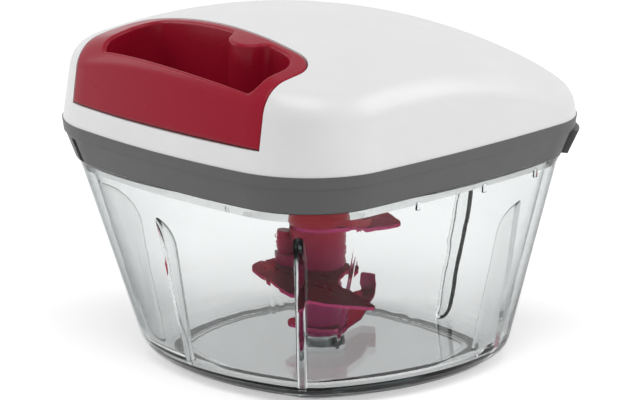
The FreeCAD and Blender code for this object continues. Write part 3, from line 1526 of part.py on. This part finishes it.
def cord_winding():
    """The cord's turns on the drum: arcs of a quarter turn that climb at a steady rate."""
    radius = cord_line.value
    rise = d.cord_pitch.value
    quarters = int(round(d.cord_turns.value * 4))
    top = cord_height.value
    points = []
    for step in range(quarters * 2 + 1):
        angle = step * math.pi / 4
        points.append(Vector(radius * math.cos(angle), radius * math.sin(angle), top - rise * step / 8))
    edges = []
    for i in range(0, len(points) - 2, 2):
        edges.append(Part.Arc(points[i], points[i + 1], points[i + 2]).toShape())
    path = Part.Wire(edges)
    section = Part.Wire([Part.Circle(points[0], Vector(0, 1, 0), cord_radius.value).toShape()])
    tube = path.makePipeShell([section], True, True)
    gap = rise - d.cord_diameter.value
    print("cord winding: length", round(path.Length, 1), "gap to itself", round(gap, 2))
    made = document.addObject("Part::Feature", "cord_winding")
    made.Label = "cord_winding"
    made.Shape = tube
    return made


def cord_run():
    """The straight cord to the handle's boss, from where it clears the turns on the drum."""
    body = new_body("cord_run")
    start = root(cord_line * cord_radius) * 2 + d.running_gap * 2
    plan = new_sketch(body, "cord_run_plan", "XZ_Plane", height=start)
    add_circle(plan, cord_line, cord_height, cord_radius)
    end = d.knot_forward - d.knot_radius
    pad(body, plan, end - start, "cord_run_pad")
    return body


def knot(name, radius, x, y, z):
    body = new_body(name)
    sketch = new_sketch(body, f"{name}_profile", "XZ_Plane")
    add_loop(sketch, [
        (0, -radius),
        (radius * 0.9, -radius, radius * 0.4),
        (radius, 0, radius * 0.5),
        (radius * 0.9, radius, radius * 0.4),
        (0, radius),
    ])
    made = add_profile(body, "PartDesign::Revolution", f"{name}_turn", sketch)
    made.ReferenceAxis = (sketch, ["V_Axis"])
    shift(body, x=x, y=y, z=z)
    return body


def drum_end_knot():
    """The knot at the winding's lower end, against the drum's core."""
    turn = d.cord_turns * 360
    reach = d.drum_core_radius + d.end_knot_radius + d.cord_seat
    along = d.end_knot_radius
    x = cosine(turn) * reach - sine(turn) * along
    y = sine(turn) * reach + cosine(turn) * along
    return knot("drum_end_knot", d.end_knot_radius, x, y, cord_height - cord_climb)


def build():
    outside = dome("cover_outside", ZERO)
    nodes = [
        bowl(),
        bowl_pin(),
        foot_ring(),
        lid_base(),
        lid_seal(),
        top_cover(outside),
        pull_handle(outside),
        cord_drum(),
        drum_axle(),
        spring_arbor(),
        spring_plate(),
        recoil_spring(),
        drum_housing(),
        housing_screws(),
        cover_screws(),
        drive_coupler(),
        coupler_screw(),
        blade_stem(),
        stem_bush(),
        lower_blade(),
        upper_blade(),
        bottom_blade(),
        cord_eyelet(),
        cord_winding(),
        cord_run(),
        knot("cord_knot", d.knot_radius, cord_line, -d.knot_forward, cord_height),
        drum_end_knot(),
    ]
    document.recompute()
    return nodes


def write(nodes):
    """Check every object and then write each sub-part to its own file."""
    failed = [thing.Name for thing in document.Objects if {"Invalid", "Error"} & set(thing.State)]
    if failed:
        raise RuntimeError(f"failed objects: {failed}")
    for node in nodes:
        if node.Shape.isNull() or not node.Shape.isValid():
            raise RuntimeError(f"bad shape: {node.Label}")
    os.makedirs("parts", exist_ok=True)
    for node in nodes:
        node.Shape.exportStep(f"parts/{node.Label}.step")
        print(node.Label, len(node.Shape.Solids), round(node.Shape.Volume, 1))


write(build())
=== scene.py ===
import math

import bmesh
import bpy
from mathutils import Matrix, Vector

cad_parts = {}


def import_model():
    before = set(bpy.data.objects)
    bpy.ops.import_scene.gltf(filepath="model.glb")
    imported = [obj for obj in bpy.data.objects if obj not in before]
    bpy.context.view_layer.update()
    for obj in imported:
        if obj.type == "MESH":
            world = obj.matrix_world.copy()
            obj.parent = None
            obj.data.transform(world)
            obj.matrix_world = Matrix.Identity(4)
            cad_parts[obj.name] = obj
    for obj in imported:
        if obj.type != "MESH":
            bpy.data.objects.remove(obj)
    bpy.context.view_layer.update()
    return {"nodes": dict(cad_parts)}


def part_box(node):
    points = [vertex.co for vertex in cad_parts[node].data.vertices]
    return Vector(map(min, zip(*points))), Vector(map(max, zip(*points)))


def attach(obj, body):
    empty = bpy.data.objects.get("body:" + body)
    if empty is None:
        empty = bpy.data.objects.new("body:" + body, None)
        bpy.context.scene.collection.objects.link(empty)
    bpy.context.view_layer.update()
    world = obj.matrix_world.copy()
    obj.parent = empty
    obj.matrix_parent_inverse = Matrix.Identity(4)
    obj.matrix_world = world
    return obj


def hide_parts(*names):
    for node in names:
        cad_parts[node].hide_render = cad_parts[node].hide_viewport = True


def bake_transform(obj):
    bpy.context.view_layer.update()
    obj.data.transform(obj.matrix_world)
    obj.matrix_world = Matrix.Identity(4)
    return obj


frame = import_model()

NODES = frame["nodes"]


# Colours, linear light

WHITE = (0.79, 0.79, 0.79)
RED = (0.30, 0.006, 0.022)
STEM_RED = (0.47, 0.004, 0.014)
STEM_PURPLE = (0.26, 0.002, 0.075)
GREY = (0.112, 0.112, 0.112)
RUBBER = (0.036, 0.042, 0.043)
SEAL = (0.62, 0.62, 0.60)
NATURAL = (0.76, 0.75, 0.70)
DARK = (0.045, 0.045, 0.05)
STEEL = (0.62, 0.62, 0.64)
# The blades' steel colour and edge tint are a painted red-purple reflection of the red stem plastic
BLADE_PAINTED_REFLECTION = (0.34, 0.03, 0.11)
BLADE_RIM_PAINTED_REFLECTION = (0.45, 0.12, 0.22)
SPRING = (0.28, 0.29, 0.34)
BRASS = (0.62, 0.42, 0.14)
CORD = (0.80, 0.79, 0.74)
CLEAR_DIM = (0.955, 0.965, 0.962)
CLEAR_BRIGHT = (0.975, 0.98, 0.978)
# Painted dark shade for the clear plastic's edge-on surfaces
CLEAR_EDGE_PAINTED_SHADE = (0.06, 0.075, 0.08)
CLEAR_DEPTH = (0.40, 0.445, 0.45)
PAPER_DIM = (0.88, 0.88, 0.88)
PAPER_BRIGHT = (0.92, 0.92, 0.92)
LIGHT = (1.0, 1.0, 1.0)


# Node trees


class Tree:
    """Shorthand for building the nodes of a material or of the world."""

    def __init__(self, owner):
        owner.use_nodes = True
        self.owner = owner
        self.nodes = owner.node_tree.nodes
        self.links = owner.node_tree.links
        self.shader = self.nodes.get("Principled BSDF")
        self.object_place = None

    def add(self, kind, **values):
        """Add a node; each value goes to the property or the input of that name."""
        node = self.nodes.new(kind)
        for key, value in values.items():
            if hasattr(node, key):
                setattr(node, key, value)
            else:
                node.inputs[key.replace("_", " ")].default_value = value
        return node

    def link(self, source, target):
        self.links.new(source, target)

    def paint(self, source, name):
        """Lead a node's output to the shader's input of this name."""
        self.link(source, self.shader.inputs[name])

    def place(self):
        if self.object_place is None:
            self.object_place = self.add("ShaderNodeTexCoord").outputs["Object"]
        return self.object_place

    def height(self):
        """Height above the table."""
        split = self.add("ShaderNodeSeparateXYZ")
        self.link(self.place(), split.inputs["Vector"])
        return split.outputs["Z"]

    def mapped(self, **values):
        """The object's coordinates, turned or stretched."""
        mapping = self.add("ShaderNodeMapping", **values)
        self.link(self.place(), mapping.inputs["Vector"])
        return mapping.outputs["Vector"]

    def noise(self, scale, detail=4.0, roughness=0.55, stretch=None):
        node = self.add("ShaderNodeTexNoise", Scale=scale, Detail=detail, Roughness=roughness)
        place = self.place() if stretch is None else self.mapped(Scale=stretch)
        self.link(place, node.inputs["Vector"])
        return node.outputs["Fac"]

    def span(self, source, low, high, from_low=0.3, from_high=0.7):
        """Map from_low..from_high of the source to low..high, clamped."""
        node = self.add("ShaderNodeMapRange", From_Min=from_low, From_Max=from_high, To_Min=low, To_Max=high)
        self.link(source, node.inputs["Value"])
        return node.outputs["Result"]

    def calculate(self, operation, first, second):
        node = self.add("ShaderNodeMath", operation=operation)
        for socket, value in zip(node.inputs, (first, second)):
            if isinstance(value, float):
                socket.default_value = value
            else:
                self.link(value, socket)
        return node.outputs[0]

    def mix(self, factor, first, second):
        node = self.add("ShaderNodeMix", data_type="RGBA")
        self.link(factor, node.inputs["Factor"])
        for name, value in (("A", first), ("B", second)):
            socket = [s for s in node.inputs if s.name == name and s.type == "RGBA"][0]
            if isinstance(value, tuple):
                socket.default_value = (*value, 1.0)
            else:
                self.link(value, socket)
        return [s for s in node.outputs if s.type == "RGBA"][0]

    def bump(self, heights):
        """Chain bumps: (height output, strength, distance in metres)."""
        normal = None
        for source, strength, distance in heights:
            node = self.add("ShaderNodeBump", Strength=strength, Distance=distance)
            self.link(source, node.inputs["Height"])
            if normal is not None:
                self.link(normal, node.inputs["Normal"])
            normal = node.outputs["Normal"]
        self.paint(normal, "Normal")

    def set(self, **values):
        """Set the shader's own inputs."""
        for key, value in values.items():
            if isinstance(value, tuple):
                value = (*value, 1.0)
            self.shader.inputs[key.replace("_", " ")].default_value = value


def new_tree(name):
    return Tree(bpy.data.materials.new(name))


def shade(colour, factor):
    return tuple(min(1.0, c * factor) for c in colour)


# Materials

ROUGHNESS_SPREAD = 0.08
BOWL_FLOOR_TOP = (0.006, 0.012)
STEM_COLOUR_CHANGE = (0.027, 0.049)


def plastic(name, colour, roughness, coat=0.0, gloss=0.5, grain=900.0, grain_depth=0.00002):
    """Moulded plastic: faint flow in the colour, uneven gloss and a fine skin."""
    tree = new_tree(name)
    flow = tree.noise(38.0, 5.0)
    tree.paint(tree.mix(flow, shade(colour, 0.95), shade(colour, 1.05)), "Base Color")
    handled = tree.noise(120.0, 3.0)
    low = roughness - ROUGHNESS_SPREAD / 2
    tree.paint(tree.span(handled, low, low + ROUGHNESS_SPREAD), "Roughness")
    skin = tree.noise(grain, 2.0)
    sink = tree.noise(55.0, 1.0)
    tree.bump([(skin, 0.25, grain_depth), (sink, 0.2, 0.00008)])
    tree.set(Coat_Weight=coat, Coat_Roughness=0.08, IOR=1.49, Specular_IOR_Level=gloss)
    return tree.owner


def clear_plastic(name):
    """Clear moulded plastic: it darkens with the depth of its wall, and a painted dark shade colours it
    where it turns edge on.
    """
    tree = new_tree(name)
    wear = tree.noise(260.0, 6.0, stretch=(1.0, 1.0, 0.3))
    tree.paint(tree.span(wear, 0.0, 0.04, 0.45, 0.8), "Roughness")
    # Painted shade: the base colour turns dark where the surface is seen edge on, less so just above the
    # floor
    facing = tree.add("ShaderNodeLayerWeight", Blend=0.25).outputs["Facing"]
    grazing = tree.span(facing, 0.0, 1.0, 0.22, 0.5)
    above_floor = tree.span(tree.height(), 0.15, 1.0, *BOWL_FLOOR_TOP)
    edge = tree.calculate("MULTIPLY", grazing, above_floor)
    face = tree.mix(tree.noise(22.0, 2.0), CLEAR_DIM, CLEAR_BRIGHT)
    tree.paint(tree.mix(edge, face, CLEAR_EDGE_PAINTED_SHADE), "Base Color")
    tree.bump([(tree.noise(30.0, 1.0), 0.1, 0.0002)])
    tree.set(Transmission_Weight=1.0, IOR=1.4, Specular_Tint=(0.25, 0.25, 0.25))
    depth = tree.add("ShaderNodeVolumeAbsorption", Color=(*CLEAR_DEPTH, 1.0), Density=46.0)
    tree.link(depth.outputs["Volume"], tree.nodes["Material Output"].inputs["Volume"])
    return tree.owner


def rubber(name, colour):
    """Matte rubber with a little dust in its skin."""
    tree = new_tree(name)
    dust = tree.noise(300.0, 6.0)
    tree.paint(tree.mix(dust, shade(colour, 0.8), shade(colour, 1.35)), "Base Color")
    tree.paint(tree.span(dust, 0.55, 0.75), "Roughness")
    tree.bump([(tree.noise(1400.0, 3.0), 0.4, 0.00004)])
    return tree.owner


def metal(name, colour, roughness, stretch=(1.0, 1.0, 1.0), grain=500.0, depth=0.00001, rim=LIGHT):
    """Metal with fine drawn streaks; rim is its tint where it is seen edge on."""
    tree = new_tree(name)
    streaks = tree.noise(grain, 6.0, 0.6, stretch)
    tree.paint(tree.mix(streaks, shade(colour, 0.86), shade(colour, 1.12)), "Base Color")
    tree.paint(tree.span(streaks, roughness * 0.7, roughness * 1.4), "Roughness")
    tree.bump([(streaks, 0.25, depth)])
    tree.set(Metallic=1.0, Specular_Tint=rim)
    return tree.owner


def braid(name, colour):
    """Fine braided cord: two crossing waves, with painted shade in the grooves of the first."""
    tree = new_tree(name)
    waves = []
    for turn in (0.9, -0.9):
        wave = tree.add("ShaderNodeTexWave", Scale=620.0, Distortion=0.8)
        tree.link(tree.mapped(Rotation=(0.3, 0.0, turn)), wave.inputs["Vector"])
        waves.append(wave.outputs["Fac"])
    # Painted shade: the colour darkens to 0.7 where the first wave is low, in the grooves of its bump
    tree.paint(tree.mix(waves[0], shade(colour, 0.7), colour), "Base Color")
    tree.bump([(wave, 0.5, 0.00015) for wave in waves])
    tree.set(Roughness=0.85)
    return tree.owner


def stem_plastic(name):
    """Deep red plastic that turns to purple towards the blades."""
    tree = new_tree(name)
    share = tree.span(tree.height(), 0.0, 1.0, *STEM_COLOUR_CHANGE)
    upper = tree.mix(tree.noise(60.0, 4.0), shade(STEM_RED, 0.92), shade(STEM_RED, 1.08))
    tree.paint(tree.mix(share, STEM_PURPLE, upper), "Base Color")
    tree.paint(tree.span(tree.noise(150.0, 3.0), 0.24, 0.34), "Roughness")
    tree.bump([(tree.noise(800.0, 2.0), 0.2, 0.00002)])
    tree.set(Specular_IOR_Level=0.15)
    return tree.owner


def dress(material, *names):
    for name in names:
        slots = NODES[name].data.materials
        slots.clear()
        slots.append(material)


dress(plastic("white_plastic", WHITE, 0.32), "top_cover")
dress(plastic("red_plastic", RED, 0.3, coat=0.05, gloss=0.15, grain=1200.0), "pull_handle")
dress(stem_plastic("stem_red"), "blade_stem")
dress(plastic("grey_plastic", GREY, 0.5, gloss=0.3, grain=1600.0, grain_depth=0.00003), "lid_base")
dress(clear_plastic("clear_plastic"), "bowl")
dress(rubber("soft_rubber", RUBBER), "foot_ring")
dress(rubber("seal_rubber", SEAL), "lid_seal")
dress(
    plastic("natural_plastic", NATURAL, 0.45),
    "cord_drum",
    "spring_arbor",
    "spring_plate",
    "stem_bush",
)
dress(plastic("dark_plastic", DARK, 0.42), "drum_housing", "drive_coupler")
# Blade steel coloured with a painted red reflection of the stem's plastic
dress(
    metal("blade_steel", BLADE_PAINTED_REFLECTION, 0.32, (1.0, 3.0, 1.0), grain=90.0, depth=0.0000004, rim=BLADE_RIM_PAINTED_REFLECTION),
    "lower_blade",
    "upper_blade",
    "bottom_blade",
)
dress(metal("polished_steel", STEEL, 0.2, (1.0, 1.0, 6.0)), "bowl_pin", "drum_axle")
dress(metal("screw_steel", STEEL, 0.28), "housing_screws", "cover_screws", "coupler_screw")
dress(metal("spring_steel", SPRING, 0.25), "recoil_spring")
dress(metal("brass_fitting", BRASS, 0.3), "cord_eyelet")
CORD_BRAID = braid("cord_fibre", CORD)
dress(CORD_BRAID, "cord_winding", "cord_run", "cord_knot", "drum_end_knot")


# Cord: tubes with a braid's relief along a path

CORD_RADIUS = 0.0009
CORD_SIDES = 24
BRAID_LENGTH = 0.0042
BRAID_RELIEF = 0.05
BRAID_STRANDS = 4
PULLED_STEPS = 240
WINDING_TURNS = 3.25
STEPS_IN_A_TURN = 120
KNOT_STEPS = 160
KNOT_SIDES = 14
KNOT_THICKNESS = 0.36
KNOT_RISE = 1.8


def tube_rings(path, radius, sides):
    """Rings of points round a path, their radius following a braid's diamonds."""
    rings = []
    travelled = 0.0
    across = None
    for i, point in enumerate(path):
        before = path[max(i - 1, 0)]
        after = path[min(i + 1, len(path) - 1)]
        along = (after - before).normalized()
        if across is None:
            across = along.orthogonal().normalized()
        across = (across - along * across.dot(along)).normalized()
        other = along.cross(across)
        if i:
            travelled += (point - path[i - 1]).length
        phase = travelled / BRAID_LENGTH * math.tau
        ring = []
        for side in range(sides):
            angle = side / sides * math.tau
            lift = math.cos(BRAID_STRANDS * angle + phase) * math.cos(BRAID_STRANDS * angle - phase)
            size = radius * (1 - BRAID_RELIEF + BRAID_RELIEF * lift)
            ring.append(point + across * (math.cos(angle) * size) + other * (math.sin(angle) * size))
        rings.append(ring)
    return rings


def tube(name, path, radius, sides=CORD_SIDES, closed=False):
    """A smooth closed tube along a path, or an endless one where the path is closed."""
    mesh = bmesh.new()
    rings = [[mesh.verts.new(point) for point in ring] for ring in tube_rings(path, radius, sides)]
    count = len(rings)
    for i in range(count if closed else count - 1):
        low, high = rings[i], rings[(i + 1) % count]
        for side in range(sides):
            following = (side + 1) % sides
            mesh.faces.new((low[side], low[following], high[following], high[side]))
    if not closed:
        mesh.faces.new(rings[0][::-1])
        mesh.faces.new(rings[-1])
    bmesh.ops.recalc_face_normals(mesh, faces=mesh.faces)
    return cord_piece(mesh, name)


def cord_piece(mesh, name):
    """Turn a bmesh into a smooth shaded piece of the cord."""
    data = bpy.data.meshes.new(name)
    mesh.to_mesh(data)
    mesh.free()
    for polygon in data.polygons:
        polygon.use_smooth = True
    data.materials.append(CORD_BRAID)
    piece = bpy.data.objects.new(name, data)
    bpy.context.scene.collection.objects.link(piece)
    return piece


def box_and_centre(node):
    low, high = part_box(node)
    return low, high, (Vector(low) + Vector(high)) / 2


def pulled_cord():
    """The cord from the drum's housing to the handle: a straight tube along the length of its solid."""
    low, high, middle = box_and_centre("cord_run")
    path = []
    for step in range(PULLED_STEPS + 1):
        y = high[1] + (low[1] - high[1]) * step / PULLED_STEPS
        path.append(Vector((middle.x, y, middle.z)))
    piece = tube("drawn_cord", path, CORD_RADIUS)
    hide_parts("cord_run")
    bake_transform(piece)


def wound_cord():
    """The cord's turns on the drum, from the height of its run down to the lower flange."""
    low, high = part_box("cord_winding")
    reach = high[0] - CORD_RADIUS
    top = high[2] - CORD_RADIUS
    climb = top - low[2] - CORD_RADIUS
    steps = int(WINDING_TURNS * STEPS_IN_A_TURN)
    path = []
    for step in range(steps + 1):
        share = step / steps
        angle = share * WINDING_TURNS * math.tau
        path.append(Vector((reach * math.cos(angle), reach * math.sin(angle), top - climb * share)))
    piece = tube("wound_cord", path, CORD_RADIUS)
    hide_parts("cord_winding")
    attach(piece, "drum")


def knot(name, node, body):
    """A tight overhand knot in the space of its solid."""
    low, high, middle = box_and_centre(node)
    radius = (high[0] - low[0]) / 2
    thickness = radius * KNOT_THICKNESS
    spread = (radius - thickness) / 3
    path = []
    for step in range(KNOT_STEPS):
        turn = step / KNOT_STEPS * math.tau
        path.append(middle + Vector((
            spread * (math.sin(turn) + 2 * math.sin(2 * turn)),
            spread * (math.cos(turn) - 2 * math.cos(2 * turn)),
            -spread * KNOT_RISE * math.sin(3 * turn),
        )))
    piece = tube(name, path, thickness, sides=KNOT_SIDES, closed=True)
    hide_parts(node)
    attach(piece, body)


pulled_cord()
wound_cord()
knot("handle_knot", "cord_knot", "handle")
knot("drum_knot", "drum_end_knot", "drum")


# Stage, world and lamps

FLOOR_SIZE = 8.0
FLOOR_GLOW = 0.42
AMBIENT = 0.28
BACKGROUND = 1.0
LAMP_AIM = Vector((0.0, 0.0, 0.05))


def background_rays(tree):
    """1 for the rays that show the background: camera, glossy and transmission."""
    path = tree.add("ShaderNodeLightPath")
    total = path.outputs["Is Camera Ray"]
    for name in ("Is Glossy Ray", "Is Transmission Ray"):
        total = tree.calculate("MAXIMUM", total, path.outputs[name])
    return total


def floor():
    bpy.ops.mesh.primitive_plane_add(size=FLOOR_SIZE, location=(0.0, 0.0, 0.0))
    plane = bpy.context.object
    plane.name = "floor"
    tree = new_tree("floor_paper")
    fibres = tree.noise(400.0, 3.0)
    tree.paint(tree.mix(fibres, PAPER_DIM, PAPER_BRIGHT), "Base Color")
    tree.set(Roughness=0.9, Emission_Color=LIGHT)
    glow = tree.calculate("MULTIPLY", background_rays(tree), FLOOR_GLOW)
    tree.paint(glow, "Emission Strength")
    plane.data.materials.append(tree.owner)


def world():
    made = bpy.data.worlds.new("studio")
    bpy.context.scene.world = made
    tree = Tree(made)
    ambient = tree.nodes["Background"]
    seen = tree.add("ShaderNodeBackground")
    for node, strength in ((ambient, AMBIENT), (seen, BACKGROUND)):
        node.inputs["Color"].default_value = (*LIGHT, 1.0)
        node.inputs["Strength"].default_value = strength
    mixer = tree.add("ShaderNodeMixShader")
    tree.link(background_rays(tree), mixer.inputs["Fac"])
    tree.link(ambient.outputs["Background"], mixer.inputs[1])
    tree.link(seen.outputs["Background"], mixer.inputs[2])
    tree.link(mixer.outputs["Shader"], tree.nodes["World Output"].inputs["Surface"])


def softbox(name, place, size, power):
    light = bpy.data.lights.new(name, "AREA")
    light.shape = "RECTANGLE"
    light.size, light.size_y = size
    light.energy = power
    lamp = bpy.data.objects.new(name, light)
    lamp.location = place
    lamp.rotation_euler = (LAMP_AIM - Vector(place)).to_track_quat("-Z", "Y").to_euler()
    bpy.context.scene.collection.objects.link(lamp)


floor()
world()
softbox("key_lamp", place=(0.45, -0.45, 1.1), size=(0.8, 0.8), power=6.8)
softbox("left_lamp", place=(-0.85, -0.65, 0.6), size=(0.6, 0.8), power=4.7)
softbox("right_lamp", place=(0.75, 0.7, 0.6), size=(0.6, 0.8), power=4.7)


# Camera, from the photograph's perspective

AZIMUTH = math.radians(46.08)
ELEVATION = math.radians(14.59)
ROLL = math.radians(0.53)
DISTANCE = 1.2477
TARGET_HEIGHT = 0.0499
TARGET_ASIDE = -0.00028
TARGET_BACK = 0.0004
FOCAL_PIXELS = 4058.3
FRAME_WIDTH = 640
SENSOR = 36.0
FARTHEST = 50.0


def camera():
    data = bpy.data.cameras.new("camera")
    data.sensor_width = SENSOR
    data.lens = FOCAL_PIXELS / FRAME_WIDTH * SENSOR
    data.clip_end = FARTHEST
    eye = bpy.data.objects.new("camera", data)
    bpy.context.scene.collection.objects.link(eye)
    back = Vector((
        math.sin(AZIMUTH) * math.cos(ELEVATION),
        -math.cos(AZIMUTH) * math.cos(ELEVATION),
        math.sin(ELEVATION),
    ))
    target = Vector((
        math.cos(AZIMUTH) * TARGET_ASIDE,
        math.sin(AZIMUTH) * TARGET_ASIDE + TARGET_BACK,
        TARGET_HEIGHT,
    ))
    eye.location = target + back * DISTANCE
    eye.rotation_euler = back.to_track_quat("Z", "Y").to_euler()
    eye.rotation_euler.rotate_axis("Z", ROLL)
    bpy.context.scene.camera = eye


camera()
bpy.context.scene.view_settings.view_transform = "Standard"
